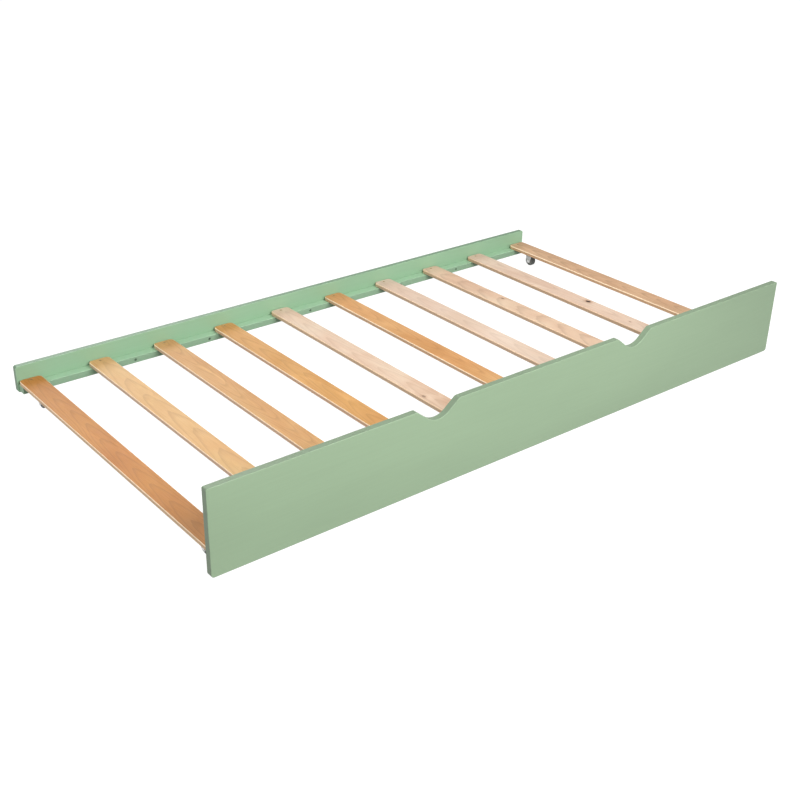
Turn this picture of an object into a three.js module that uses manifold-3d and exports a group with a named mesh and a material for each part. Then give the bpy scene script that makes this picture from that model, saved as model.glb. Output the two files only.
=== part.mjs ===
// Trundle bed: a slatted frame on four fixed casters, which rolls out from under another bed.
// Millimetres. +X runs along the bed, +Y from the front panel to the back rail, and +Z is up.
// The origin is on the floor under the middle of the bed.
import * as THREE from 'three';
import { mergeVertices } from 'three/addons/utils/BufferGeometryUtils.js';
import Module from 'manifold-3d';

const wasm = await Module();
wasm.setup();

// Whole bed
const bedLength = 1900;
const bedWidth = 1050;

// Front panel: a plain board with two hand scoops in its top edge
const panelThickness = 18;
const panelHeight = 218;
const panelBottom = 10;
const panelFootCorner = 8;
const panelTopCorner = 4;
const boardEdge = 1.5;
const cornerSteps = 4;
const scoopCentre = 336;
const scoopHalfWidth = 63;
const scoopSideAngle = THREE.MathUtils.degToRad(39);
const scoopBottomRadius = 50;
const scoopBottomSteps = 14;
const scoopLipRadius = 9;
const scoopLipSteps = 3;

// Back rail: a narrower board with the same rounded corners
const railLength = 1870;
const railThickness = 16;
const railHeight = 76;
const railBottom = 20;
const railCorner = 7;

// Ledgers: the battens that carry the slat ends
const ledgerLength = 1862;
const ledgerDepth = 28;
const ledgerHeight = 19;
const ledgerBottom = 25;
const ledgerCorner = 2;

// Slats
const slatCount = 10;
const slatPitch = 200;
const slatWidth = 62;
const slatThickness = 12;
const slatEndGap = 2;
const slatCorner = 10;
const slatCornerSteps = 3;
const slatEdge = 1;

// Countersunk wood screws
const screwSides = 12;
const headRadius = 4;
const headRim = 0.5;
const shankRadius = 1.8;
const tipLength = 4;
const screwClearance = 0.15;
const headRecess = 0.4;
const slatScrewLength = 25;
const ledgerScrewLength = 36;
const ledgerScrewPlaces = [-600, -360, 0, 360, 600];

// Fixed casters, one near each corner, screwed up into the end slats
const casterInset = 54;
const casterSides = 24;
const tyreRadius = 17.5;
const tyreWidth = 15;
const shoulderHeight = 3;
const shoulderWidth = 4.5;
const shoulderSteps = 2;
const rimRadius = 12.5;
const rimWall = 2;
const rimSetback = 1;
const seatGap = 0.05;
const hubHalfLength = 9;
const bossRadius = 6;
const webHalfThickness = 3;
const axleRadius = 3;
const axleClearance = 0.08;
const madeHead = { radius: 5.2, rim: 1, height: 2.2, crown: 3.4 };
const rivetedHead = { radius: 4.6, rim: 0.8, height: 1.8, crown: 3 };
const plateLength = 50;
const plateWidth = 44;
const sheetThickness = 2;
const plateCorner = 6;
const plateCornerSteps = 3;
const forkGap = 19;
const armTopHalfWidth = 14;
const armFootHalfWidth = 8.5;
const armFootRadius = 7;
const armFootSteps = 5;
const armTopRadius = 0.5;
const plateHoleX = 16.5;
const plateHoleY = 18;
const plateHoleRadius = 2.2;
const pilotRadius = 1.3;
const pilotDepth = 8;

// Levels and faces that follow from the sizes above
const slatBottom = ledgerBottom + ledgerHeight;
const slatTop = slatBottom + slatThickness;
const panelBack = -bedWidth / 2 + panelThickness;
const railFront = bedWidth / 2 - railThickness;
const frontLedgerInner = panelBack + ledgerDepth;
const backLedgerInner = railFront - ledgerDepth;
const ledgerMiddle = ledgerBottom + ledgerHeight / 2;
const frontScrewLine = panelBack + ledgerDepth / 2;
const backScrewLine = railFront - ledgerDepth / 2;
const axleHeight = tyreRadius;
const casterLines = { front: frontLedgerInner + casterInset, back: backLedgerInner - casterInset };
const plateHoles = [[-1, -1], [1, -1], [1, 1], [-1, 1]].map(([x, y]) => [x * plateHoleX, y * plateHoleY]);

// Finishes
const sagePaint = { color: 0x9db792, roughness: 0.45, metalness: 0 };
const slatWoods = [
  0xd29a5c, 0xd9a872, 0xdda674, 0xd59a62, 0xdcb496, 0xd79c66, 0xdcb699, 0xddb493, 0xdcbb9c, 0xd8a873,
];
const screwSteel = { color: 0x8c7c62, roughness: 0.35, metalness: 0.8 };
const forkSteel = { color: 0x77787a, roughness: 0.35, metalness: 0.9 };
const axleSteel = { color: 0xa6a7a9, roughness: 0.25, metalness: 0.95 };
const wheelPlastic = { color: 0xa9a9a6, roughness: 0.5, metalness: 0 };
const tyreRubber = { color: 0x353535, roughness: 0.75, metalness: 0 };

const bed = new THREE.Group();

/** The closed solid of a geometry, ready to be joined and cut. */
function solidFrom(geometry) {
  const bare = geometry.clone();
  bare.deleteAttribute('normal');
  bare.deleteAttribute('uv');
  const merged = mergeVertices(bare, 1e-4);
  return new wasm.Manifold(new wasm.Mesh({
    numProp: 3,
    vertProperties: new Float32Array(merged.attributes.position.array),
    triVerts: new Uint32Array(merged.index.array),
  }));
}

/** The geometry of a solid. */
function geometryFrom(solid) {
  const mesh = solid.getMesh();
  const geometry = new THREE.BufferGeometry();
  geometry.setAttribute('position', new THREE.BufferAttribute(mesh.vertProperties, 3));
  geometry.setIndex(new THREE.BufferAttribute(mesh.triVerts, 1));
  geometry.computeVertexNormals();
  return geometry;
}

/** A geometry with each of the cutting geometries taken away. */
function cut(geometry, cutters) {
  let solid = solidFrom(geometry);
  for (const cutter of cutters) {
    solid = solid.subtract(solidFrom(cutter));
  }
  return geometryFrom(solid);
}

/** Adds one named piece to the bed. */
function addPiece(name, geometry, finish, x = 0, y = 0, z = 0) {
  const mesh = new THREE.Mesh(geometry, new THREE.MeshStandardMaterial(finish));
  mesh.name = name;
  mesh.position.set(x, y, z);
  bed.add(mesh);
}

/** A closed outline through the corners [x, y, radius, steps], each rounded by an arc of that radius. */
function roundedOutline(corners) {
  const points = [];
  corners.forEach(([x, y, radius, steps], index) => {
    const corner = new THREE.Vector2(x, y);
    const [beforeX, beforeY] = corners.at(index - 1);
    const [afterX, afterY] = corners[(index + 1) % corners.length];
    const towardsBefore = new THREE.Vector2(beforeX, beforeY).sub(corner).normalize();
    const towardsAfter = new THREE.Vector2(afterX, afterY).sub(corner).normalize();
    const halfAngle = Math.acos(towardsBefore.dot(towardsAfter)) / 2;
    const bisector = towardsBefore.clone().add(towardsAfter).normalize();
    const centre = corner.clone().addScaledVector(bisector, radius / Math.sin(halfAngle));
    const reach = radius / Math.tan(halfAngle);
    const start = corner.clone().addScaledVector(towardsBefore, reach).sub(centre);
    const end = corner.clone().addScaledVector(towardsAfter, reach).sub(centre);
    const sweep = Math.atan2(start.cross(end), start.dot(end));
    for (let step = 0; step <= steps; step += 1) {
      const spoke = start.clone().rotateAround(new THREE.Vector2(), (sweep * step) / steps);
      points.push(spoke.add(centre));
    }
  });
  return new THREE.Shape(points);
}

/** A rounded rectangle centred on the origin. */
function roundedRectangle(width, height, radius, steps) {
  const x = width / 2;
  const y = height / 2;
  return roundedOutline([
    [-x, -y, radius, steps],
    [x, -y, radius, steps],
    [x, y, radius, steps],
    [-x, y, radius, steps],
  ]);
}

/** A board of that outline and thickness, from z = 0 up, with its long edges eased. */
function easedBoard(outline, thickness, edge) {
  const geometry = new THREE.ExtrudeGeometry(outline, {
    depth: thickness - 2 * edge,
    bevelEnabled: edge > 0,
    bevelThickness: edge,
    bevelSize: edge,
    bevelOffset: -edge,
    bevelSegments: 1,
  });
  return geometry.translate(0, 0, edge);
}

/** The same board stood on edge: its outline in X and Z, and its thickness from y = 0 to +Y. */
function standingBoard(outline, thickness, edge) {
  return easedBoard(outline, thickness, edge).rotateX(Math.PI / 2).translate(0, thickness, 0);
}

/** A solid of revolution about Y from [radius, height] points, lowest first. */
function turned(profile, sides) {
  return new THREE.LatheGeometry(profile.map(([radius, height]) => new THREE.Vector2(radius, height)), sides);
}

/** A plain round bar along Y, centred on the origin. */
function roundBar(radius, length, sides) {
  const half = length / 2;
  return turned([[0, -half], [radius, -half], [radius, half], [0, half]], sides);
}

/** A countersunk screw along Y, its tip down and the top of its head at y = 0, grown by a clearance. */
function screwForm(length, clearance = 0) {
  const head = headRadius + clearance;
  const shank = shankRadius + clearance;
  const coneEnd = -headRim - (head - shank);
  const top = clearance > 0 ? headRecess + clearance : 0;
  return turned([
    [0, -length - clearance],
    [shank, -length + tipLength],
    [shank, coneEnd],
    [head, -headRim],
    [head, top],
    [0, top],
  ], screwSides);
}

const uprightScrew = (length, clearance) => screwForm(length, clearance).rotateX(Math.PI / 2);
const forwardScrew = (length, clearance) => screwForm(length, clearance);
const backwardScrew = (length, clearance) => screwForm(length, clearance).rotateZ(Math.PI);

/** The corners of one V-shaped hand scoop with a round bottom, from its right lip to its left. */
function scoopCorners(centre, top) {
  const apex = top - scoopHalfWidth * Math.tan(scoopSideAngle);
  return [
    [centre + scoopHalfWidth, top, scoopLipRadius, scoopLipSteps],
    [centre, apex, scoopBottomRadius, scoopBottomSteps],
    [centre - scoopHalfWidth, top, scoopLipRadius, scoopLipSteps],
  ];
}

function panelOutline() {
  const x = bedLength / 2;
  const top = panelBottom + panelHeight;
  return roundedOutline([
    [-x, panelBottom, panelFootCorner, cornerSteps],
    [x, panelBottom, panelFootCorner, cornerSteps],
    [x, top, panelTopCorner, cornerSteps],
    ...scoopCorners(scoopCentre, top),
    ...scoopCorners(-scoopCentre, top),
    [-x, top, panelTopCorner, cornerSteps],
  ]);
}

/** The screws that hold a ledger, as cutters: their heads are sunk in its inner face. */
function ledgerScrewCutters(inner, screw) {
  const sunk = inner + Math.sign(inner) * headRecess;
  return ledgerScrewPlaces.map((x) => (
    screw(ledgerScrewLength, screwClearance).translate(x, sunk, ledgerMiddle)
  ));
}

function slatPlaces() {
  return Array.from({ length: slatCount }, (_, index) => (index - (slatCount - 1) / 2) * slatPitch);
}

/** Cutters for the row of screws that fasten the slats to the ledger with that middle line. */
function slatScrewCutters(y) {
  const z = slatTop - headRecess;
  return slatPlaces().map((x) => uprightScrew(slatScrewLength, screwClearance).translate(x, y, z));
}

function makeFrontPanel() {
  const board = standingBoard(panelOutline(), panelThickness, boardEdge).translate(0, -bedWidth / 2, 0);
  addPiece('front_panel', cut(board, ledgerScrewCutters(frontLedgerInner, forwardScrew)), sagePaint);
}

function makeBackRail() {
  const outline = roundedRectangle(railLength, railHeight, railCorner, cornerSteps);
  const board = standingBoard(outline, railThickness, boardEdge);
  board.translate(0, railFront, railBottom + railHeight / 2);
  addPiece('back_rail', cut(board, ledgerScrewCutters(backLedgerInner, backwardScrew)), sagePaint);
}

/** One ledger, bored for its own screws and for the slats' screws. */
function makeLedger(name, inner, outer, screw) {
  const middle = (inner + outer) / 2;
  const outline = roundedRectangle(ledgerLength, ledgerHeight, ledgerCorner, 1);
  const batten = standingBoard(outline, ledgerDepth, 0);
  batten.translate(0, middle - ledgerDepth / 2, ledgerMiddle);
  const cutters = [...ledgerScrewCutters(inner, screw), ...slatScrewCutters(middle)];
  addPiece(name, cut(batten, cutters), sagePaint);
}

/** The screws through one ledger, head inwards. */
function makeLedgerScrews(side, inner, screw) {
  ledgerScrewPlaces.forEach((x, index) => {
    const y = inner + Math.sign(inner) * headRecess;
    addPiece(`ledger_screw_${side}_${index + 1}`, screw(ledgerScrewLength), screwSteel, x, y, ledgerMiddle);
  });
}

/** Pilot holes in the underside of an end slat for the casters' plate screws. */
function casterPilots(x) {
  const pilots = [];
  for (const y of Object.values(casterLines)) {
    for (const [holeX, holeY] of plateHoles) {
      const pilot = roundBar(pilotRadius, 2 * pilotDepth, screwSides).rotateX(Math.PI / 2);
      pilots.push(pilot.translate(x + holeX, y + holeY, slatBottom));
    }
  }
  return pilots;
}

/** One slat across the bed, with a countersunk hole near each end. */
function makeSlat(index, x) {
  const length = railFront - panelBack - 2 * slatEndGap;
  const middle = (railFront + panelBack) / 2;
  const outline = roundedRectangle(slatWidth, length, slatCorner, slatCornerSteps);
  const board = easedBoard(outline, slatThickness, slatEdge).translate(x, middle, slatBottom);
  const isEnd = index === 0 || index === slatCount - 1;
  const cutters = [frontScrewLine, backScrewLine].map((y) => (
    uprightScrew(slatScrewLength, screwClearance).translate(x, y, slatTop - headRecess)
  ));
  const geometry = cut(board, isEnd ? [...cutters, ...casterPilots(x)] : cutters);
  const number = String(index + 1).padStart(2, '0');
  addPiece(`slat_${number}`, geometry, { color: slatWoods[index], roughness: 0.6, metalness: 0 });
  for (const [side, y] of [['front', frontScrewLine], ['back', backScrewLine]]) {
    const screw = uprightScrew(slatScrewLength);
    addPiece(`slat_screw_${side}_${number}`, screw, screwSteel, x, y, slatTop - headRecess);
  }
}

/** One cheek of the fork: wide under the plate, round about the axle, in Y and Z. */
function forkArm(x) {
  const top = slatBottom - axleHeight - sheetThickness / 2;
  const outline = roundedOutline([
    [-armFootHalfWidth, -armFootHalfWidth, armFootRadius, armFootSteps],
    [armFootHalfWidth, -armFootHalfWidth, armFootRadius, armFootSteps],
    [armTopHalfWidth, top, armTopRadius, 1],
    [-armTopHalfWidth, top, armTopRadius, 1],
  ]);
  const arm = easedBoard(outline, sheetThickness, 0);
  return arm.rotateX(Math.PI / 2).rotateZ(Math.PI / 2).translate(x, 0, 0);
}

/** The pressed steel fork: a plate with four holes and two cheeks, with the axle's centre at the origin. */
function forkGeometry() {
  const plateTop = slatBottom - axleHeight;
  const outline = roundedRectangle(plateWidth, plateLength, plateCorner, plateCornerSteps);
  const plate = easedBoard(outline, sheetThickness, 0).translate(0, 0, plateTop - sheetThickness);
  let fork = solidFrom(plate);
  fork = fork.add(solidFrom(forkArm(forkGap / 2)));
  fork = fork.add(solidFrom(forkArm(-forkGap / 2 - sheetThickness)));
  const bore = roundBar(axleRadius + axleClearance, 2 * forkGap, casterSides).rotateZ(-Math.PI / 2);
  fork = fork.subtract(solidFrom(bore));
  for (const [holeX, holeY] of plateHoles) {
    const hole = roundBar(plateHoleRadius, 4 * sheetThickness, screwSides).rotateX(Math.PI / 2);
    hole.translate(holeX, holeY, plateTop);
    fork = fork.subtract(solidFrom(hole));
  }
  return geometryFrom(fork);
}

/** The profile of one round pin head that starts at a height, from the shank out and up to its crown. */
function headProfile(head, face) {
  return [
    [axleRadius, face],
    [head.radius, face],
    [head.radius, face + head.rim],
    [head.crown, face + head.height],
    [0, face + head.height],
  ];
}

/** The axle pin along X: its made head is outside one cheek, and its riveted end outside the other. */
function axleGeometry() {
  const face = forkGap / 2 + sheetThickness + seatGap;
  const rivetedEnd = headProfile(rivetedHead, face).map(([radius, height]) => [radius, -height]).reverse();
  const profile = [...rivetedEnd, ...headProfile(madeHead, face)];
  return turned(profile, casterSides).rotateZ(-Math.PI / 2);
}

/** The moulded wheel centre: a rim, a thin web and a bored boss that turns on the axle. */
function wheelGeometry() {
  const bore = axleRadius + axleClearance;
  const half = tyreWidth / 2 - rimSetback;
  const rimInner = rimRadius - rimWall;
  const profile = [
    [bore, -hubHalfLength],
    [bossRadius, -hubHalfLength],
    [bossRadius, -webHalfThickness],
    [rimInner, -webHalfThickness],
    [rimInner, -half],
    [rimRadius, -half],
    [rimRadius, half],
    [rimInner, half],
    [rimInner, webHalfThickness],
    [bossRadius, webHalfThickness],
    [bossRadius, hubHalfLength],
    [bore, hubHalfLength],
    [bore, -hubHalfLength],
  ];
  return turned(profile, casterSides).rotateZ(-Math.PI / 2);
}

/** The tyre: a ring seated on the rim, with a flat tread and rounded shoulders. */
function tyreGeometry() {
  const inner = rimRadius + seatGap;
  const half = tyreWidth / 2;
  const tread = tyreRadius / Math.cos(Math.PI / casterSides);
  const shoulder = [];
  for (let step = 0; step <= shoulderSteps; step += 1) {
    const angle = (step / shoulderSteps) * (Math.PI / 2);
    const drop = shoulderHeight * (1 - Math.sin(angle));
    shoulder.push([tread - drop, half - shoulderWidth * (1 - Math.cos(angle))]);
  }
  const lowShoulder = shoulder.map(([radius, height]) => [radius, -height]);
  const profile = [[inner, -half], ...lowShoulder, ...shoulder.reverse(), [inner, half], [inner, -half]];
  return turned(profile, casterSides).rotateZ(-Math.PI / 2);
}

/** Turns a ring by half a side, so that it stands on a flat of its outline. */
function standOnFlat(geometry) {
  return geometry.rotateX(Math.PI / casterSides);
}

function makeCaster(corner, x, y) {
  const place = [x, y, axleHeight];
  addPiece(`caster_${corner}_fork`, forkGeometry(), forkSteel, ...place);
  addPiece(`caster_${corner}_axle`, axleGeometry(), axleSteel, ...place);
  addPiece(`caster_${corner}_wheel`, standOnFlat(wheelGeometry()), wheelPlastic, ...place);
  addPiece(`caster_${corner}_tyre`, standOnFlat(tyreGeometry()), tyreRubber, ...place);
}

function makeCasters() {
  const [leftX] = slatPlaces();
  for (const [row, y] of Object.entries(casterLines)) {
    makeCaster(`${row}_left`, leftX, y);
    makeCaster(`${row}_right`, -leftX, y);
  }
}

makeFrontPanel();
makeBackRail();
makeLedger('front_ledger', frontLedgerInner, panelBack, forwardScrew);
makeLedger('back_ledger', backLedgerInner, railFront, backwardScrew);
makeLedgerScrews('front', frontLedgerInner, forwardScrew);
makeLedgerScrews('back', backLedgerInner, backwardScrew);
slatPlaces().forEach((x, index) => makeSlat(index, x));
makeCasters();

export default bed;
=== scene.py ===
"""Trundle bed: the visible pieces, materials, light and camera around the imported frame.

Metres, in the frame's own axes: +X along the bed, +Y from the front panel to the back rail, +Z up.
Every piece is built in place, so its object sits at the origin, and its texture coordinates are
places on the bed.
"""

from collections import namedtuple
import math

import bmesh
import bpy
from mathutils import Matrix, Vector


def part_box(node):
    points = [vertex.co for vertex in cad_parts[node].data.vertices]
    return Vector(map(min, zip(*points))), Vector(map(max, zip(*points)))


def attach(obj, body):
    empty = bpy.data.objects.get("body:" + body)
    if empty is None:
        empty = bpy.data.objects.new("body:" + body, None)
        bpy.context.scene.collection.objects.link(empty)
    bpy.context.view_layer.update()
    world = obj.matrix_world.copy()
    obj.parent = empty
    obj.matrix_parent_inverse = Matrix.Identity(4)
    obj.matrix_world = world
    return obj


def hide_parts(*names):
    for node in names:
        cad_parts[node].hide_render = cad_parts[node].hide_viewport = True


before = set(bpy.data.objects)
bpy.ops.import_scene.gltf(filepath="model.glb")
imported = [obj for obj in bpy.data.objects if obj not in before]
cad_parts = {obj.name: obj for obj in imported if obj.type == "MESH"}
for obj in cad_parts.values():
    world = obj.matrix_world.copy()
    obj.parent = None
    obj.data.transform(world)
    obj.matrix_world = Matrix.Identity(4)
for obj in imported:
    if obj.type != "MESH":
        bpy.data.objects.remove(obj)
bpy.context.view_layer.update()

MM = 0.001

# Camera: its place, heading from +Y towards +X, tilt below the horizon, roll, and lens in mm
CAMERA_PLACE = (-1.9328, -2.3482, 1.4904)
CAMERA_HEADING = math.radians(39.09)
CAMERA_TILT = math.radians(27.32)
CAMERA_ROLL = math.radians(1.06)
CAMERA_LENS = 53.55

# Softboxes: each one's place, what it is aimed at, its power in watts, and its width and height
Softbox = namedtuple("Softbox", "name place aim power width height")
SOFTBOXES = [
    Softbox("front_softbox", (-0.3, -2.3, 1.6), (-0.3, 0, 0.1), 75, 2.0, 1.2),
    Softbox("left_softbox", (-2.4, 0.3, 1.8), (0, 0, 0.1), 27, 1.6, 1.0),
    Softbox("overhead_softbox", (0.8, -0.5, 1.9), (0.3, 0.3, 0), 21, 1.6, 0.8),
    Softbox("back_softbox", (0, 2.6, 1.6), (0, 0, 0.1), 36, 2.4, 1.2),
]

# Surroundings: how far up and down the white horizon fades, what is beyond it, and the floor
HORIZON_TOP = (0.2, 0.35)
HORIZON_FOOT = (-0.02, -0.04)
SKY_STRENGTH = 0.36
BOUNCE_STRENGTH = 0.2
FLOOR_GLOW = 0.95
FLOOR_REACH = 120

# Boards: how far their long edges are eased, and the steps in each rounding. A mitre limit keeps
# an inset corner from shooting out.
BOARD_EDGE = 1.3 * MM
LEDGER_EDGE = 1.5 * MM
SLAT_EDGE = 1.7 * MM
EDGE_STEPS = 4
CORNER_STEPS = 8
MITRE_LIMIT = 0.3

# Front panel
PANEL_FOOT_CORNER = 8 * MM
PANEL_TOP_CORNER = 4 * MM
SCOOP_CENTRE = 336 * MM
SCOOP_HALF_WIDTH = 63 * MM
SCOOP_SIDE_ANGLE = math.radians(39)
SCOOP_BOTTOM_RADIUS = 50 * MM
SCOOP_LIP_RADIUS = 9 * MM
SCOOP_STEPS = 40

# Back rail and slats
RAIL_CORNER = 7 * MM
SLAT_CORNER = 11 * MM

# Screws
LEDGER_SCREW_COUNT = 5
SCREW_SIDES = 32
HEAD_RADIUS = 4 * MM
HEAD_RIM = 0.5 * MM
HEAD_LOWER_BEVEL = 0.1 * MM
HEAD_UPPER_BEVEL = 0.15 * MM
CORE_RADIUS = 1.25 * MM
CREST_RADIUS = 1.8 * MM
THREAD_PITCH = 1.8 * MM
THREAD_STEPS = 6
TIP_LENGTH = 4 * MM
DRIVE_DEPTH = 2.2 * MM
DRIVE_REACH = 2.3 * MM
DRIVE_WIDTH = 0.95 * MM
DRIVE_FOOT_SHARE = 0.35
DRIVE_RISE = 1 * MM
SINK_CLEARANCE = 0.2 * MM
SINK_RISE = 0.8 * MM
PILOT_DEPTH = 3 * MM
PAN_RADIUS = 3.7 * MM
PAN_HEIGHT = 2.2 * MM
PAN_RIM = 0.5 * MM
PAN_FULLNESS = 0.6
DOME_STEPS = 6

# Casters
ROUND_SIDES = 96
CAD_WHEEL_SIDES = 24
TYRE_SHOULDER = 3 * MM
TYRE_SEAT_CORNER = 0.5 * MM
TYRE_SEAT_STEPS = 3
TYRE_SEAT_GAP = 0.05 * MM
RIM_HALF = 6.5 * MM
RIM_WALL = 1.8 * MM
WEB_HALF = 2.2 * MM
WEB_MARGIN = 0.3 * MM
RIB_HALF = 5.2 * MM
RIB_DROP = 0.4 * MM
RIB_COUNT = 6
RIB_SHARE = 1 / 4
BOSS_RADIUS = 5.6 * MM
BOSS_BEVEL = 0.5 * MM
BORE_RADIUS = 3.08 * MM
AXLE_RADIUS = 3 * MM
RIVETED_HEAD_RADIUS = 4.6 * MM
MADE_HEAD_RADIUS = 5.2 * MM
AXLE_HEAD_GAP = 0.05 * MM
AXLE_HEAD_RIM_SHARE = 0.25
SHEET = 2 * MM
FORK_HALF_GAP = 9.5 * MM
FORK_BEND = 3 * MM
BEND_STEPS = 6
STRIP_OVERLAP = 0.2 * MM
CHEEK_TOP_HALF = 14 * MM
CHEEK_FOOT_HALF = 8.5 * MM
CHEEK_LEAST_HALF = 0.6 * MM
CHEEK_STEPS = 8
PLATE_CORNER = 6 * MM
PLATE_EDGE = 0.4 * MM
HOLE_HALF_SPACING = (16.5 * MM, 18 * MM)
PLATE_HOLE_RADIUS = 2.2 * MM
PLATE_SCREW_LENGTH = 12 * MM

# Each slat's wood, from left to right: the colours of the face, its darker patches, the cut edge
# and the top layer's lip, a light veneer edge made lighter still as a painted highlight along the
# top arris. arch is how strongly the growth rings bend along the slat, ring_spacing their distance
# in mm, and ring_share how dark they are. A knot is (x from the slat's middle, y, radius, share of
# its darkness), in mm.
Wood = namedtuple("Wood", "face dark edge lip arch ring_spacing ring_share knots")
# The lip colour: a light veneer edge, partly a painted highlight along the slats' top arris.
CREAM = (252, 224, 190)
SLATS = [
    Wood((176, 120, 56), (162, 104, 44), (220, 182, 142), CREAM, 260, 90, 0.3, []),
    Wood((194, 158, 108), (186, 144, 90), (218, 180, 150), CREAM, 180, 120, 0.3, []),
    Wood((190, 150, 98), (178, 132, 80), (222, 182, 150), CREAM, -320, 80, 0.3, []),
    Wood((192, 146, 88), (178, 128, 64), (222, 178, 144), CREAM, 240, 100, 0.3, []),
    Wood((202, 182, 160), (190, 156, 130), (218, 184, 152), (240, 208, 172), 300, 120, 0.22,
         [(-18, -214, 5, 0.5)]),
    Wood((198, 152, 100), (180, 128, 74), (216, 174, 136), CREAM, -350, 90, 0.32, []),
    Wood((202, 182, 164), (192, 166, 144), (214, 180, 150), (236, 204, 172), 280, 110, 0.22, []),
    Wood((204, 180, 154), (190, 158, 132), (212, 178, 146), (230, 196, 162), 60, 88, 0.35,
         [(14, 159, 4, 0.55)]),
    Wood((204, 184, 164), (192, 164, 142), (204, 170, 138), (222, 188, 156), -400, 130, 0.26,
         [(15, -20, 6.5, 1.0), (0, -207, 3, 0.5)]),
    Wood((192, 158, 124), (172, 134, 100), (214, 170, 130), CREAM, 220, 70, 0.45, []),
]


# ---------------------------------------------------------------- outlines

def rounded_outline(corners):
    """A closed outline's points, from (x, y, radius, steps) corners, each rounded by an arc."""
    points = []
    for index, (x, y, radius, steps) in enumerate(corners):
        corner = Vector((x, y))
        before = (Vector(corners[index - 1][:2]) - corner).normalized()
        after = (Vector(corners[(index + 1) % len(corners)][:2]) - corner).normalized()
        half_angle = math.acos(before.dot(after)) / 2
        centre = corner + (before + after).normalized() * radius / math.sin(half_angle)
        reach = radius / math.tan(half_angle)
        start = corner + before * reach - centre
        end = corner + after * reach - centre
        sweep = math.atan2(start.x * end.y - start.y * end.x, start.dot(end))
        for step in range(steps + 1):
            points.append(centre + Matrix.Rotation(sweep * step / steps, 2) @ start)
    return points


def rounded_rectangle(low, high, radius):
    """A rounded rectangle between two opposite corners, anticlockwise."""
    corners = [(low[0], low[1]), (high[0], low[1]), (high[0], high[1]), (low[0], high[1])]
    return rounded_outline([(x, y, radius, CORNER_STEPS) for x, y in corners])


def inset(outline, distance):
    """An anticlockwise outline moved inwards by a distance."""
    moved = []
    for index, point in enumerate(outline):
        into = (point - outline[index - 1]).normalized()
        out_of = (outline[(index + 1) % len(outline)] - point).normalized()
        left = Vector((-into.y - out_of.y, into.x + out_of.x)).normalized()
        slant = left.dot(Vector((-into.y, into.x)))
        moved.append(point + left * distance / max(MITRE_LIMIT, slant))
    return moved


# ---------------------------------------------------------------- meshes

def eased_board(outline, thickness, edge):
    """A board from z = 0 to its thickness, with its long edges rounded."""
    rings = []
    for step in range(EDGE_STEPS + 1):
        angle = math.pi / 2 * step / EDGE_STEPS
        rings.append((edge * (1 - math.sin(angle)), edge * (1 - math.cos(angle))))
    rings += [(distance, thickness - height) for distance, height in reversed(rings)]
    mesh = bmesh.new()
    loops = []
    for distance, height in rings:
        loops.append([mesh.verts.new((p.x, p.y, height)) for p in inset(outline, distance)])
    for low, high in zip(loops, loops[1:]):
        for index in range(len(low)):
            mesh.faces.new((low[index - 1], low[index], high[index], high[index - 1]))
    mesh.faces.new(reversed(loops[0]))
    mesh.faces.new(loops[-1])
    return mesh


def turned(profile, sides, closed=False, shape=None):
    """A surface turned about Z from (radius, height) points, which shape may change by angle."""
    mesh = bmesh.new()
    rings = []
    for radius, height in profile:
        ring = []
        for index in range(sides if radius > 0 else 1):
            angle = 2 * math.pi * index / sides
            r, h = shape(radius, height, angle) if shape else (radius, height)
            ring.append(mesh.verts.new((r * math.cos(angle), r * math.sin(angle), h)))
        rings.append(ring)
    pairs = list(zip(rings, rings[1:])) + ([(rings[-1], rings[0])] if closed else [])
    for low, high in pairs:
        for index in range(sides):
            after = (index + 1) % sides
            corners = [low[index % len(low)], low[after % len(low)]]
            corners += [high[after % len(high)], high[index % len(high)]]
            mesh.faces.new(list(dict.fromkeys(corners)))
    bmesh.ops.recalc_face_normals(mesh, faces=mesh.faces)
    return mesh


def place(mesh, matrix):
    """The same mesh, moved by a matrix."""
    mesh.transform(matrix)
    return mesh


def to_object(name, mesh):
    """A new object from a bmesh, shaded smooth."""
    bmesh.ops.recalc_face_normals(mesh, faces=mesh.faces)
    data = bpy.data.meshes.new(name)
    mesh.to_mesh(data)
    mesh.free()
    data.polygons.foreach_set("use_smooth", [True] * len(data.polygons))
    made = bpy.data.objects.new(name, data)
    bpy.context.scene.collection.objects.link(made)
    return made


def boolean(target, cutters, operation="DIFFERENCE"):
    """Cuts other objects out of one, or joins them to it, and removes them."""
    for cutter in cutters:
        modifier = target.modifiers.new("cut", "BOOLEAN")
        modifier.operation = operation
        modifier.solver = "EXACT"
        modifier.object = cutter
    graph = bpy.context.evaluated_depsgraph_get()
    result = bpy.data.meshes.new_from_object(target.evaluated_get(graph), depsgraph=graph)
    target.modifiers.clear()
    target.data = result
    for cutter in cutters:
        bpy.data.objects.remove(cutter)
    return target


def copy_of(source, name, matrix):
    """A copy of an object with its own mesh, moved by a matrix."""
    data = source.data.copy()
    data.transform(matrix)
    made = bpy.data.objects.new(name, data)
    bpy.context.scene.collection.objects.link(made)
    return made


def finish_piece(piece, material, body, node=None):
    """Gives a piece its material, shading, slot and body, and hides the CAD node it stands for."""
    piece.data.materials.clear()
    piece.data.materials.append(material)
    normals = piece.modifiers.new("flat_faces", "WEIGHTED_NORMAL")
    normals.weight = 100
    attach(piece, body)
    if node:
        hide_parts(node)


# ---------------------------------------------------------------- material nodes

# Where the Mix node keeps its colours among its sockets of every type
MIX_COLOUR_A = 6
MIX_COLOUR_B = 7
MIX_COLOUR_OUTPUT = 2


def new_material(name):
    """An empty node material and its Principled shader."""
    material = bpy.data.materials.new(name)
    material.use_nodes = True
    return material, material.node_tree, material.node_tree.nodes["Principled BSDF"]


def set_inputs(tree, node, inputs):
    """Gives each named input of a node a value, or links it to another node's output."""
    for key, value in inputs.items():
        if isinstance(value, bpy.types.NodeSocket):
            tree.links.new(value, node.inputs[key])
        else:
            node.inputs[key].default_value = value


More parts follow.
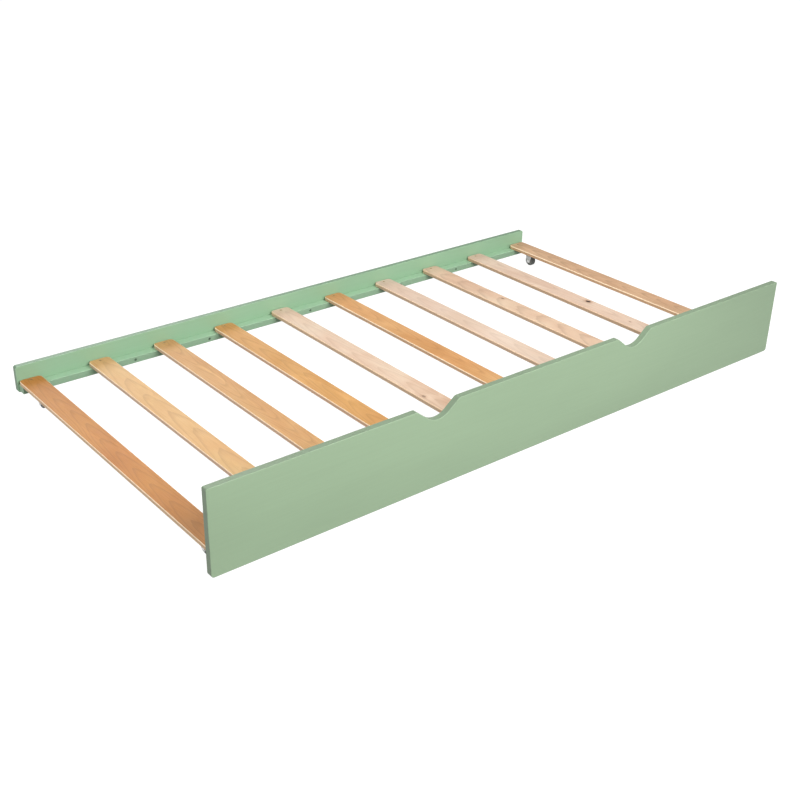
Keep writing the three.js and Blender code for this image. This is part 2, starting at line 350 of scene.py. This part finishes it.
def add(tree, kind, inputs=None, output=0, **settings):
    """Adds a node, sets or links its inputs, and returns one of its outputs."""
    node = tree.nodes.new(kind)
    for key, value in settings.items():
        setattr(node, key, value)
    set_inputs(tree, node, inputs or {})
    return node.outputs[output]


def math_node(tree, operation, a, b=0.0):
    """The result of one operation on two values, of which some operations use only the first."""
    return add(tree, "ShaderNodeMath", {0: a, 1: b}, operation=operation)


def scaled_place(tree, scale=(1, 1, 1), shift=(0, 0, 0)):
    """The place on the bed, scaled and shifted for a texture."""
    here = add(tree, "ShaderNodeTexCoord", output="Object")
    return add(tree, "ShaderNodeMapping", {"Vector": here, "Scale": scale, "Location": shift})


def place_along(tree, axis):
    """The place on the bed along one axis."""
    return add(tree, "ShaderNodeSeparateXYZ", {"Vector": scaled_place(tree)}, output=axis)


def noise(tree, vector, scale, detail=3.0, roughness=0.5, distortion=0.0):
    """Smooth noise, mostly between 0.3 and 0.7, and finer with a larger scale."""
    inputs = {"Vector": vector, "Scale": scale, "Detail": detail}
    inputs.update({"Roughness": roughness, "Distortion": distortion})
    return add(tree, "ShaderNodeTexNoise", inputs)


def spread(tree, value, low, high, to_low=0.0, to_high=1.0):
    """A value mapped from one range to another, and held inside it."""
    inputs = {"Value": value, "From Min": low, "From Max": high}
    inputs.update({"To Min": to_low, "To Max": to_high})
    return add(tree, "ShaderNodeMapRange", inputs)


def mix(tree, factor, a, b):
    """Colour a, turning into colour b as the factor goes from 0 to 1."""
    inputs = {0: factor, MIX_COLOUR_A: a, MIX_COLOUR_B: b}
    return add(tree, "ShaderNodeMix", inputs, MIX_COLOUR_OUTPUT, data_type="RGBA")


def facing(tree, axis):
    """How far the surface's own normal points along one axis, from -1 to 1."""
    normal = add(tree, "ShaderNodeTexCoord", output="Normal")
    return add(tree, "ShaderNodeSeparateXYZ", {"Vector": normal}, output=axis)


def bump(tree, height, distance):
    """A normal that follows a height, over a distance in metres."""
    return add(tree, "ShaderNodeBump", {"Height": height, "Distance": distance})


def srgb(red, green, blue):
    """A linear colour from 0-255 screen values."""
    channels = []
    for value in (red, green, blue):
        c = value / 255
        channels.append(c / 12.92 if c <= 0.04045 else ((c + 0.055) / 1.055) ** 2.4)
    return (*channels, 1.0)


def tinted(colour, share):
    """A colour made lighter or darker, and kept at or below white."""
    return (*(min(1.0, channel * share) for channel in colour[:3]), 1.0)


# ---------------------------------------------------------------- materials

def paint(name, colour, shift, face_axis, cut_and_shade_tone):
    """Satin paint on board: a rolled texture and faint strokes, and darker where the surface turns
    away from face_axis. That darkening is partly duller paint on the cut edges and partly painted
    shade: on the tops, ends and undersides of the upright boards, and on the ledgers' front and back
    faces.
    """
    material, tree, shader = new_material(name)
    broad = noise(tree, scaled_place(tree, (1.4, 5, 5), shift), 1.0, 2.0)
    strokes = noise(tree, scaled_place(tree, (9, 420, 420), shift), 1.0, 4.0, 0.6)
    rolled = noise(tree, scaled_place(tree, shift=shift), 750.0, 3.0, 0.55)
    tone = mix(tree, spread(tree, broad, 0.3, 0.7), tinted(colour, 0.95), tinted(colour, 1.04))
    tone = mix(tree, spread(tree, strokes, 0.35, 0.65, 0.0, 0.1), tone, tinted(colour, 0.7))
    # Painted shade, partly duller paint on the cut edges: faces turned away from face_axis are mixed
    # towards near black.
    cut = spread(tree, math_node(tree, "ABSOLUTE", facing(tree, face_axis)), 0.6, 0.2)
    tone = mix(tree, math_node(tree, "MULTIPLY", cut, 1 - cut_and_shade_tone), tone, tinted(colour, 0.1))
    grain = math_node(tree, "ADD", rolled, math_node(tree, "MULTIPLY", strokes, 0.6))
    set_inputs(tree, shader, {
        "Base Color": tone,
        "Roughness": spread(tree, rolled, 0.3, 0.7, 0.4, 0.52),
        "Normal": bump(tree, grain, 0.00006),
        "Specular IOR Level": 0.4,
    })
    return material


def slat_wood(name, wood, seed, place_x):
    """Clear-sealed laminated wood: long grain, growth rings, knots, and layers on the cut edges."""
    material, tree, shader = new_material(name)
    face, dark = srgb(*wood.face), srgb(*wood.dark)
    shift = (seed * 3.7, seed * 1.9, seed * 0.7)
    rings = growth_rings(tree, wood, place_x, shift)
    fibres = noise(tree, scaled_place(tree, (900, 14, 900), shift), 1.0, 4.0, 0.65)
    flame = noise(tree, scaled_place(tree, (22, 4, 10), shift), 1.0, 4.0, 0.6, 1.2)
    patches = noise(tree, scaled_place(tree, (9, 4.2, 6), shift), 1.0, 3.0, 0.6)
    blush = noise(tree, scaled_place(tree, (14, 7, 6), (shift[1], shift[0], 0)), 1.0, 2.0)
    tone = mix(tree, spread(tree, patches, 0.35, 0.65), face, dark)
    pink = (face[0], face[1] * 0.86, face[2] * 0.84, 1)
    tone = mix(tree, spread(tree, blush, 0.4, 0.7, 0.0, 0.35), tone, pink)
    tone = mix(tree, math_node(tree, "MULTIPLY", rings, wood.ring_share), tone, tinted(dark, 0.5))
    tone = mix(tree, spread(tree, fibres, 0.5, 0.72, 0.0, 0.3), tone, tinted(dark, 0.5))
    tone = mix(tree, spread(tree, flame, 0.56, 0.74, 0.0, 0.4), tone, tinted(face, 1.3))
    for x, y, size, share in wood.knots:
        tone = knot(tree, tone, place_x + x * MM, y * MM, size * MM, share)
    height = math_node(tree, "ADD", fibres, math_node(tree, "MULTIPLY", rings, 0.3))
    set_inputs(tree, shader, {
        "Base Color": layered_edge(tree, tone, srgb(*wood.edge), srgb(*wood.lip), fibres),
        "Roughness": spread(tree, fibres, 0.3, 0.7, 0.42, 0.6),
        "Normal": bump(tree, height, 0.00008),
        "Specular IOR Level": 0.35,
    })
    return material


def growth_rings(tree, wood, place_x, shift):
    """Thin nested arches along the slat, whose middle line wanders, and which wobble a little."""
    slow = noise(tree, scaled_place(tree, (0, 2.5, 0), shift), 1.0, 1.0)
    wander = spread(tree, slow, 0.3, 0.7, -0.009, 0.009)
    quick = noise(tree, scaled_place(tree, (40, 8, 40), shift), 1.0, 3.0)
    wobble = spread(tree, quick, 0.3, 0.7, -0.015, 0.015)
    middle = math_node(tree, "ADD", wander, place_x)
    across = math_node(tree, "SUBTRACT", place_along(tree, "X"), middle)
    arch = math_node(tree, "MULTIPLY", math_node(tree, "MULTIPLY", across, across), wood.arch)
    along = math_node(tree, "ADD", math_node(tree, "ADD", place_along(tree, "Y"), arch), wobble)
    turns = math_node(tree, "FRACT", math_node(tree, "DIVIDE", along, wood.ring_spacing * MM))
    rising, falling = spread(tree, turns, 0.6, 0.96), spread(tree, turns, 1.0, 0.96)
    return math_node(tree, "MULTIPLY", rising, falling)


def knot(tree, base, x, y, size, share):
    """A small knot in the slat's face, longer along the grain, with a softer ring round it."""
    shape = (1 / size, 0.6 / size, 0)
    here = scaled_place(tree, shape, (-x / size, -0.6 * y / size, 0))
    away = add(tree, "ShaderNodeVectorMath", {0: here}, output="Value", operation="LENGTH")
    wobble = noise(tree, scaled_place(tree), 160.0, 2.0)
    edge = math_node(tree, "ADD", away, spread(tree, wobble, 0, 1, -0.3, 0.3))
    halo = mix(tree, spread(tree, edge, 2.2, 0.9, 0.0, 0.45 * share), base, srgb(150, 100, 60))
    return mix(tree, spread(tree, edge, 1.0, 0.7, 0.0, share), halo, srgb(52, 32, 22))


def layered_edge(tree, tone, edge, lip, fibres):
    """The slat's cut edges: layers between dark glue lines, the top one in the lip colour, which is
    partly a painted highlight along the top arris.
    """
    low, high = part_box("slat_01")
    ramp = tree.nodes.new("ShaderNodeValToRGB")
    ramp.color_ramp.interpolation = "CONSTANT"
    tree.links.new(spread(tree, place_along(tree, "Z"), low.z, high.z), ramp.inputs["Fac"])
    # The top layer, in the lip colour, runs up over the rounded top arris as a painted highlight.
    layers = [(0.0, tinted(edge, 0.55)), (0.14, edge), (0.38, tinted(edge, 0.5)),
              (0.43, tinted(edge, 0.85)), (0.7, tinted(edge, 0.55)), (0.74, lip)]
    stops = ramp.color_ramp.elements
    while len(stops) < len(layers):
        stops.new(1.0)
    for stop, (position, colour) in zip(stops, layers):
        stop.position = position
        stop.color = colour
    streaks = spread(tree, fibres, 0.45, 0.75, 0.0, 0.3)
    grained = mix(tree, streaks, ramp.outputs["Color"], tinted(edge, 0.5))
    upright = spread(tree, math_node(tree, "ABSOLUTE", facing(tree, "Z")), 0.97, 0.85)
    return mix(tree, upright, tone, grained)


def metal(name, colour, roughness, streaks):
    """Plated steel with fine streaks and dull patches."""
    material, tree, shader = new_material(name)
    lines = noise(tree, scaled_place(tree, streaks), 1.0, 4.0, 0.6)
    patches = noise(tree, scaled_place(tree), 180.0, 3.0)
    tone = mix(tree, spread(tree, patches, 0.3, 0.7), tinted(colour, 0.7), colour)
    tone = mix(tree, spread(tree, lines, 0.5, 0.75, 0.0, 0.3), tone, tinted(colour, 1.5))
    set_inputs(tree, shader, {
        "Base Color": tone,
        "Metallic": 0.9,
        "Roughness": spread(tree, patches, 0.3, 0.7, roughness, roughness + 0.18),
        "Normal": bump(tree, lines, 0.00002),
    })
    return material


def moulded(name, colour, roughness, grain, depth):
    """Moulded plastic or rubber: an even colour with a fine matt grain and scuffs."""
    material, tree, shader = new_material(name)
    fine = noise(tree, scaled_place(tree), grain, 3.0, 0.6)
    scuffs = noise(tree, scaled_place(tree, (60, 220, 220)), 1.0, 4.0, 0.65)
    tone = mix(tree, spread(tree, fine, 0.3, 0.7), tinted(colour, 0.85), colour)
    tone = mix(tree, spread(tree, scuffs, 0.56, 0.75, 0.0, 0.3), tone, tinted(colour, 1.7))
    set_inputs(tree, shader, {
        "Base Color": tone,
        "Roughness": spread(tree, scuffs, 0.3, 0.7, roughness - 0.06, roughness + 0.08),
        "Normal": bump(tree, fine, depth),
    })
    return material


# ---------------------------------------------------------------- boards

def standing(outline, thickness, edge, back):
    """A board that stands on its edge, with its outline in X and Z and its back face at y = back."""
    upright = Matrix.Translation((0, back, 0)) @ Matrix.Rotation(math.pi / 2, 4, "X")
    return place(eased_board(outline, thickness, edge), upright)


def scoop(centre, top):
    """The corners of one hand scoop, from its right lip to its left."""
    apex = top - SCOOP_HALF_WIDTH * math.tan(SCOOP_SIDE_ANGLE)
    return [
        (centre + SCOOP_HALF_WIDTH, top, SCOOP_LIP_RADIUS, CORNER_STEPS),
        (centre, apex, SCOOP_BOTTOM_RADIUS, SCOOP_STEPS),
        (centre - SCOOP_HALF_WIDTH, top, SCOOP_LIP_RADIUS, CORNER_STEPS),
    ]


def make_panel(material):
    """The front panel, with a hand scoop on each side of its middle."""
    low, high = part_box("front_panel")
    outline = rounded_outline([
        (low.x, low.z, PANEL_FOOT_CORNER, CORNER_STEPS),
        (high.x, low.z, PANEL_FOOT_CORNER, CORNER_STEPS),
        (high.x, high.z, PANEL_TOP_CORNER, CORNER_STEPS),
        *scoop(SCOOP_CENTRE, high.z),
        *scoop(-SCOOP_CENTRE, high.z),
        (low.x, high.z, PANEL_TOP_CORNER, CORNER_STEPS),
    ])
    panel = to_object("front_panel_board", standing(outline, high.y - low.y, BOARD_EDGE, high.y))
    finish_piece(panel, material, "frame", "front_panel")


def make_rail(material):
    """The back rail."""
    low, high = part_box("back_rail")
    outline = rounded_rectangle((low.x, low.z), (high.x, high.z), RAIL_CORNER)
    rail = to_object("back_rail_board", standing(outline, high.y - low.y, BOARD_EDGE, high.y))
    finish_piece(rail, material, "frame", "back_rail")


def make_ledger(side, material):
    """One ledger, with a countersunk hole for each of its screws."""
    low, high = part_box(f"{side}_ledger")
    section = rounded_rectangle((low.y, low.z), (high.y, high.z), LEDGER_EDGE)
    batten = eased_board(section, high.x - low.x, LEDGER_EDGE / 2)
    along = Matrix(((0, 0, 1, low.x), (1, 0, 0, 0), (0, 1, 0, 0), (0, 0, 0, 1)))
    ledger = to_object(f"{side}_ledger_batten", place(batten, along))
    sinks = [sink(head) for head in ledger_heads(side)]
    finish_piece(boolean(ledger, sinks), material, "frame", f"{side}_ledger")


def make_slat(number, material):
    """One slat, with a countersunk hole for the screw at each end."""
    low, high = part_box(f"slat_{number:02d}")
    outline = rounded_rectangle((low.x, low.y), (high.x, high.y), SLAT_CORNER)
    board = eased_board(outline, high.z - low.z, SLAT_EDGE)
    slat = to_object(f"slat_{number:02d}_board", place(board, Matrix.Translation((0, 0, low.z))))
    sinks = [sink(slat_head(side, number)) for side in ("front", "back")]
    finish_piece(boolean(slat, sinks), material, "frame", f"slat_{number:02d}")


# ---------------------------------------------------------------- screws

def slat_head(side, number):
    """Where a slat screw's head is, as a matrix whose +Z leaves the wood."""
    low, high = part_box(f"slat_screw_{side}_{number:02d}")
    return Matrix.Translation(((low.x + high.x) / 2, (low.y + high.y) / 2, high.z))


def ledger_head(side, number):
    """Where a ledger screw's head is, as a matrix whose +Z leaves the wood."""
    low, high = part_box(f"ledger_screw_{side}_{number}")
    x, z = (low.x + high.x) / 2, (low.z + high.z) / 2
    if side == "front":
        return Matrix.Translation((x, high.y, z)) @ Matrix.Rotation(-math.pi / 2, 4, "X")
    return Matrix.Translation((x, low.y, z)) @ Matrix.Rotation(math.pi / 2, 4, "X")


def ledger_heads(side):
    """Where every screw head of one ledger is, from left to right."""
    return [ledger_head(side, number) for number in range(1, LEDGER_SCREW_COUNT + 1)]


def sink(head):
    """The cutter for one countersunk hole."""
    radius = HEAD_RADIUS + SINK_CLEARANCE
    core = CORE_RADIUS + SINK_CLEARANCE
    cone = -HEAD_RIM - (radius - core)
    profile = [(0, cone - PILOT_DEPTH), (core, cone - PILOT_DEPTH), (core, cone),
               (radius, -HEAD_RIM), (radius, SINK_RISE), (0, SINK_RISE)]
    return to_object("sink", place(turned(profile, SCREW_SIDES), head))


def thread(radius, height, angle):
    """Swells a shank into a helical ridge."""
    turn = (height / THREAD_PITCH - angle / (2 * math.pi)) % 1
    ridge = max(0.0, 1 - abs(turn - 0.5) * 4)
    share = min(1.0, radius / CORE_RADIUS)
    return radius + (CREST_RADIUS - CORE_RADIUS) * ridge * share, height


def screw_profile(length, head):
    """Tip, threaded shank and head, as (radius, height) points from the tip up to the head's top."""
    tip = -length + TIP_LENGTH
    top = head[0][1]
    profile = [(0, -length)]
    profile += [(CORE_RADIUS * share, -length + TIP_LENGTH * share) for share in (0.25, 0.5, 0.75)]
    steps = max(2, round((top - tip) / THREAD_PITCH * THREAD_STEPS))
    profile += [(CORE_RADIUS, tip + (top - tip) * step / steps) for step in range(steps)]
    return profile + head


def screw_form(name, length, head, top):
    """A screw threaded below its head, with a cross-shaped drive sunk from the head's top."""
    neck = head[0][1] - THREAD_PITCH

    def shape(radius, height, angle):
        """Threads the shank below the neck, and leaves the rest as it is."""
        if height < neck and radius > 0:
            return thread(radius, height, angle)
        return radius, height

    screw = to_object(name, turned(screw_profile(length, head), SCREW_SIDES, shape=shape))
    return boolean(screw, [drive_wing(top, turn) for turn in (0, math.pi / 2)])


def drive_wing(top, turn):
    """One wing of the cross-shaped recess: a slot that narrows as it goes down."""
    mesh = bmesh.new()
    levels = ((top + DRIVE_RISE, 1.0), (top - DRIVE_DEPTH, DRIVE_FOOT_SHARE))
    loops = []
    for height, share in levels:
        x, y = DRIVE_REACH * share, DRIVE_WIDTH / 2 * (0.4 + 0.6 * share)
        corners = ((-x, -y), (x, -y), (x, y), (-x, y))
        loops.append([mesh.verts.new((*corner, height)) for corner in corners])
    for index in range(4):
        mesh.faces.new((loops[0][index - 1], loops[0][index], loops[1][index], loops[1][index - 1]))
    mesh.faces.new(loops[0])
    mesh.faces.new(reversed(loops[1]))
    return to_object("wing", place(mesh, Matrix.Rotation(turn, 4, "Z")))


def countersunk_screw(name, length):
    """A screw with a flat head whose top is at z = 0."""
    cone = -HEAD_RIM - (HEAD_RADIUS - CORE_RADIUS)
    head = [
        (CORE_RADIUS, cone),
        (HEAD_RADIUS - HEAD_LOWER_BEVEL, -HEAD_RIM),
        (HEAD_RADIUS, -HEAD_RIM + HEAD_LOWER_BEVEL),
        (HEAD_RADIUS, -HEAD_UPPER_BEVEL),
        (HEAD_RADIUS - HEAD_UPPER_BEVEL, 0),
        (0, 0),
    ]
    return screw_form(name, length, head, 0)


def pan_screw(name, length):
    """A screw with a domed head that stands on z = 0."""
    head = [(CORE_RADIUS, 0), (PAN_RADIUS, 0), (PAN_RADIUS, PAN_RIM)]
    for step in range(1, DOME_STEPS):
        angle = math.pi / 2 * step / DOME_STEPS
        radius = PAN_RADIUS * math.cos(angle) ** PAN_FULLNESS
        head.append((radius, PAN_RIM + (PAN_HEIGHT - PAN_RIM) * math.sin(angle)))
    head.append((0, PAN_HEIGHT))
    return screw_form(name, length, head, PAN_HEIGHT)


def make_screws(slat_steel, ledger_steel):
    """The screws of the slats and the ledgers, each turned to an angle of its own."""
    low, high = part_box("slat_screw_front_01")
    slat_screw = countersunk_screw("slat_screw_form", high.z - low.z)
    low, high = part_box("ledger_screw_front_1")
    ledger_screw = countersunk_screw("ledger_screw_form", high.y - low.y)
    for side in ("front", "back"):
        for number in range(1, len(SLATS) + 1):
            node = f"slat_screw_{side}_{number:02d}"
            turn = Matrix.Rotation(number * 0.7 + (side == "back"), 4, "Z")
            piece = copy_of(slat_screw, f"{node}_threaded", slat_head(side, number) @ turn)
            finish_piece(piece, slat_steel, "frame", node)
        for number, head in enumerate(ledger_heads(side), 1):
            node = f"ledger_screw_{side}_{number}"
            turn = Matrix.Rotation(number * 1.1, 4, "Z")
            piece = copy_of(ledger_screw, f"{node}_threaded", head @ turn)
            finish_piece(piece, ledger_steel, "frame", node)
    for form in (slat_screw, ledger_screw):
        bpy.data.objects.remove(form)


# ---------------------------------------------------------------- casters

def tyre_form():
    """The tyre about its own axis: a ring with a flat tread and rounded shoulders."""
    low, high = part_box("caster_front_left_tyre")
    radius, half = (high.z - low.z) / 2, (high.x - low.x) / 2
    inner = rim_radius() + TYRE_SEAT_GAP
    corners = [
        (inner, -half, TYRE_SEAT_CORNER, TYRE_SEAT_STEPS),
        (radius, -half, TYRE_SHOULDER, CORNER_STEPS),
        (radius, half, TYRE_SHOULDER, CORNER_STEPS),
        (inner, half, TYRE_SEAT_CORNER, TYRE_SEAT_STEPS),
    ]
    profile = [tuple(p) for p in rounded_outline(corners)]
    return to_object("tyre_form", turned(profile, ROUND_SIDES, closed=True))


def rim_radius():
    """The round rim's radius, a little inside the flats of the CAD's faceted wheel."""
    low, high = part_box("caster_front_left_wheel")
    return (high.z - low.z) / 2 * math.cos(math.pi / CAD_WHEEL_SIDES)


def wheel_form():
    """The wheel centre: rim, web, boss and ribs, bored for the axle."""
    low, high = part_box("caster_front_left_wheel")
    boss_half = (high.x - low.x) / 2
    rim = rim_radius()
    inside = rim - RIM_WALL
    upper = [
        (inside, RIM_HALF),
        (inside, RIB_HALF),
        (inside - WEB_MARGIN, WEB_HALF),
        ((BOSS_RADIUS + inside) / 2, WEB_HALF),
        (BOSS_RADIUS + WEB_MARGIN, WEB_HALF),
        (BOSS_RADIUS, RIB_HALF),
        (BOSS_RADIUS, boss_half - BOSS_BEVEL),
        (BOSS_RADIUS - BOSS_BEVEL, boss_half),
        (BORE_RADIUS, boss_half),
    ]
    lower = [(radius, -height) for radius, height in reversed(upper)]
    profile = [(rim, -RIM_HALF), (rim, RIM_HALF), *upper, *lower]
    return to_object("wheel_form", turned(profile, ROUND_SIDES, closed=True, shape=rib))


def rib(radius, height, angle):
    """Raises the web into radial ribs."""
    turn = (angle * RIB_COUNT / (2 * math.pi)) % 1
    if abs(height) == WEB_HALF and turn < RIB_SHARE:
        return radius, math.copysign(RIB_HALF - RIB_DROP, height)
    return radius, height


def axle_head(radius, reach):
    """A domed axle head as (radius, height) points, from the axle out to its crown."""
    face = FORK_HALF_GAP + SHEET + AXLE_HEAD_GAP
    points = [(AXLE_RADIUS, face), (radius, face)]
    for step in range(DOME_STEPS):
        angle = math.pi / 2 * step / DOME_STEPS
        rise = AXLE_HEAD_RIM_SHARE + (1 - AXLE_HEAD_RIM_SHARE) * math.sin(angle)
        points.append((radius * math.cos(angle), face + (reach - face) * rise))
    return points + [(0, reach)]


def axle_form():
    """The axle pin, with its made head at one end and its riveted one at the other."""
    low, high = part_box("caster_front_left_axle")
    reach = (high.x - low.x) / 2
    riveted = [(radius, -height) for radius, height in axle_head(RIVETED_HEAD_RADIUS, reach)]
    profile = riveted[::-1] + axle_head(MADE_HEAD_RADIUS, reach)
    return to_object("axle_form", turned(profile, ROUND_SIDES // 2))


def fork_form(plate_top):
    """The pressed fork about the axle's centre: a plate, and a bent strip that carries the axle."""
    low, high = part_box("caster_front_left_fork")
    half_x, half_y = (high.x - low.x) / 2, (high.y - low.y) / 2
    outline = rounded_rectangle((-half_x, -half_y), (half_x, half_y), PLATE_CORNER)
    board = eased_board(outline, SHEET, PLATE_EDGE)
    underside = plate_top - SHEET
    plate = to_object("fork_form", place(board, Matrix.Translation((0, 0, underside))))
    bar = [(0, -2 * SHEET), (PLATE_HOLE_RADIUS, -2 * SHEET)]
    bar += [(radius, -height) for radius, height in reversed(bar)]
    holes = []
    for x, y in plate_holes():
        hole = place(turned(bar, SCREW_SIDES), Matrix.Translation((x, y, plate_top)))
        holes.append(to_object("hole", hole))
    boolean(plate, holes)
    return boolean(plate, [bent_strip(underside + STRIP_OVERLAP)], "UNION")


def bent_strip(top):
    """An upside-down U of sheet, wide at its top and round about the axle."""
    outer = FORK_HALF_GAP + SHEET
    bend_foot = top - FORK_BEND
    path = []
    for step in range(CHEEK_STEPS + 1):
        path.append((outer, -CHEEK_FOOT_HALF * math.cos(math.pi / 2 * step / CHEEK_STEPS)))
    path += [(outer, bend_foot * share) for share in (0.35, 0.7, 1.0)]
    for step in range(1, BEND_STEPS + 1):
        angle = math.pi / 2 * step / BEND_STEPS
        x = outer - FORK_BEND + FORK_BEND * math.cos(angle)
        path.append((x, bend_foot + FORK_BEND * math.sin(angle)))
    path += [(-x, z) for x, z in reversed(path)]
    mesh = bmesh.new()
    rows = []
    for x, z in path:
        half = cheek_half(z, top)
        rows.append([mesh.verts.new((x, half * share, z)) for share in (-1, -0.5, 0, 0.5, 1)])
    for before, after in zip(rows, rows[1:]):
        for index in range(4):
            mesh.faces.new((before[index], before[index + 1], after[index + 1], after[index]))
    bmesh.ops.remove_doubles(mesh, verts=mesh.verts, dist=1e-7)
    strip = to_object("strip", mesh)
    solid = strip.modifiers.new("sheet", "SOLIDIFY")
    solid.thickness = SHEET
    solid.offset = -1
    return boolean(strip, [])


def cheek_half(height, top):
    """Half the cheek's width at a height above the axle."""
    if height < 0:
        round_half = math.sqrt(max(0.0, CHEEK_FOOT_HALF ** 2 - height ** 2))
        return max(CHEEK_LEAST_HALF, round_half)
    return CHEEK_FOOT_HALF + (CHEEK_TOP_HALF - CHEEK_FOOT_HALF) * height / top


def plate_holes():
    """The middles of the plate's four holes, about the caster's centre."""
    half_x, half_y = HOLE_HALF_SPACING
    return [(-half_x, -half_y), (half_x, -half_y), (half_x, half_y), (-half_x, half_y)]


def make_casters(fork_steel, axle_steel, wheel_plastic, tyre_rubber, screw_steel):
    """The four casters: each wheel and tyre rides its own body, and the rest rides the frame."""
    low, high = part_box("caster_front_left_tyre")
    plate_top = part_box("caster_front_left_fork")[1].z - (low.z + high.z) / 2
    forms = {
        "fork": (fork_form(plate_top), fork_steel, "fork_steel"),
        "axle": (axle_form(), axle_steel, "axle_steel"),
        "wheel": (wheel_form(), wheel_plastic, "wheel_plastic"),
        "tyre": (tyre_form(), tyre_rubber, "tyre_rubber"),
    }
    along_x = Matrix.Rotation(math.pi / 2, 4, "Y")
    upside_down = Matrix.Rotation(math.pi, 4, "X")
    plate_screw = pan_screw("plate_screw_form", PLATE_SCREW_LENGTH)
    for corner in ("front_left", "front_right", "back_left", "back_right"):
        low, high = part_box(f"caster_{corner}_tyre")
        centre = Matrix.Translation((low + high) / 2)
        for kind, (form, material, slot) in forms.items():
            node = f"caster_{corner}_{kind}"
            body = f"wheel_{corner}" if kind in ("wheel", "tyre") else "frame"
            matrix = centre if kind == "fork" else centre @ along_x
            finish_piece(copy_of(form, f"{node}_made", matrix), material, body, node)
        for number, (x, y) in enumerate(plate_holes(), 1):
            under = centre @ Matrix.Translation((x, y, plate_top - SHEET)) @ upside_down
            screw = copy_of(plate_screw, f"caster_{corner}_plate_screw_{number}", under)
            finish_piece(screw, screw_steel, "frame")
    bpy.data.objects.remove(plate_screw)
    for kind in forms:
        bpy.data.objects.remove(forms[kind][0])


# ---------------------------------------------------------------- stage

def make_camera():
    """The camera, in front of the bed's left end and above it."""
    camera = bpy.data.objects.new("camera", bpy.data.cameras.new("camera"))
    camera.data.lens = CAMERA_LENS
    heading = Matrix.Rotation(-CAMERA_HEADING, 4, "Z")
    tilt = Matrix.Rotation(math.pi / 2 - CAMERA_TILT, 4, "X")
    roll = Matrix.Rotation(CAMERA_ROLL, 4, "Z")
    camera.matrix_world = Matrix.Translation(CAMERA_PLACE) @ heading @ tilt @ roll
    bpy.context.scene.collection.objects.link(camera)
    bpy.context.scene.camera = camera


def make_floor():
    """A plain white floor, far wider than the view. It glows, but doesn't light the bed."""
    material, tree, shader = new_material("floor_white")
    grain = noise(tree, scaled_place(tree), 40.0, 3.0)
    set_inputs(tree, shader, {
        "Base Color": mix(tree, grain, (0.15, 0.15, 0.15, 1), (0.18, 0.18, 0.18, 1)),
        "Roughness": 0.9,
        "Specular IOR Level": 0.1,
        "Emission Color": (1, 1, 1, 1),
        "Emission Strength": FLOOR_GLOW,
    })
    mesh = bmesh.new()
    bmesh.ops.create_grid(mesh, x_segments=8, y_segments=8, size=FLOOR_REACH)
    floor = to_object("floor", mesh)
    floor.data.materials.append(material)
    floor.visible_diffuse = False
    floor.visible_shadow = False


def make_softbox(box):
    """A rectangular area light at one point, aimed at another."""
    light = bpy.data.lights.new(box.name, "AREA")
    light.shape = "RECTANGLE"
    light.energy = box.power
    light.size = box.width
    light.size_y = box.height
    holder = bpy.data.objects.new(box.name, light)
    holder.location = box.place
    direction = Vector(box.aim) - Vector(box.place)
    holder.rotation_euler = direction.to_track_quat("-Z", "Y").to_euler()
    bpy.context.scene.collection.objects.link(holder)


def make_surroundings():
    """A white band at the horizon, with a dimmer sky above it and a dim bounce from below."""
    world = bpy.data.worlds.new("studio")
    world.use_nodes = True
    tree = world.node_tree
    direction = add(tree, "ShaderNodeTexCoord", output="Generated")
    upward = add(tree, "ShaderNodeSeparateXYZ", {"Vector": direction}, output="Z")
    above = spread(tree, upward, *HORIZON_TOP, 1.0, SKY_STRENGTH)
    below = spread(tree, upward, *HORIZON_FOOT, 1.0, BOUNCE_STRENGTH)
    background = tree.nodes["Background"]
    background.inputs["Color"].default_value = (1, 1, 1, 1)
    tree.links.new(math_node(tree, "MULTIPLY", above, below), background.inputs["Strength"])
    bpy.context.scene.world = world
    bpy.context.scene.view_settings.view_transform = "Standard"


# ---------------------------------------------------------------- the whole scene

def make_bed():
    """Every visible piece of the bed, each with its own material."""
    # The three boards carry one sage paint. The rail's and the ledgers' copies are lighter and
    # greener than the panel's: painted light that makes up for the dimmer light reaching them at the
    # back.
    make_panel(paint("panel_paint", srgb(137, 159, 130), (0, 0, 0), "Y", 0.57))
    make_rail(paint("rail_paint", srgb(141, 175, 143), (4, 2, 1), "Y", 0.5))
    ledger_paint = paint("ledger_paint", srgb(148, 182, 150), (1, 6, 2), "Z", 0.8)
    make_ledger("front", ledger_paint)
    make_ledger("back", ledger_paint)
    for number, wood in enumerate(SLATS, 1):
        low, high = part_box(f"slat_{number:02d}")
        make_slat(number, slat_wood(f"slat_wood_{number:02d}", wood, number, (low.x + high.x) / 2))
    brass_zinc = metal("screw_steel", srgb(166, 132, 88), 0.32, (300, 300, 300))
    make_screws(brass_zinc, metal("screw_painted_over", srgb(96, 118, 98), 0.5, (300, 300, 300)))
    make_casters(
        metal("fork_steel", srgb(186, 186, 184), 0.38, (60, 700, 60)),
        metal("axle_steel", srgb(222, 222, 222), 0.25, (60, 900, 900)),
        moulded("wheel_plastic", srgb(196, 196, 190), 0.48, 1400.0, 0.00002),
        moulded("tyre_rubber", srgb(104, 107, 104), 0.72, 1100.0, 0.00004),
        brass_zinc,
    )


make_camera()
make_floor()
make_surroundings()
for box in SOFTBOXES:
    make_softbox(box)
make_bed()
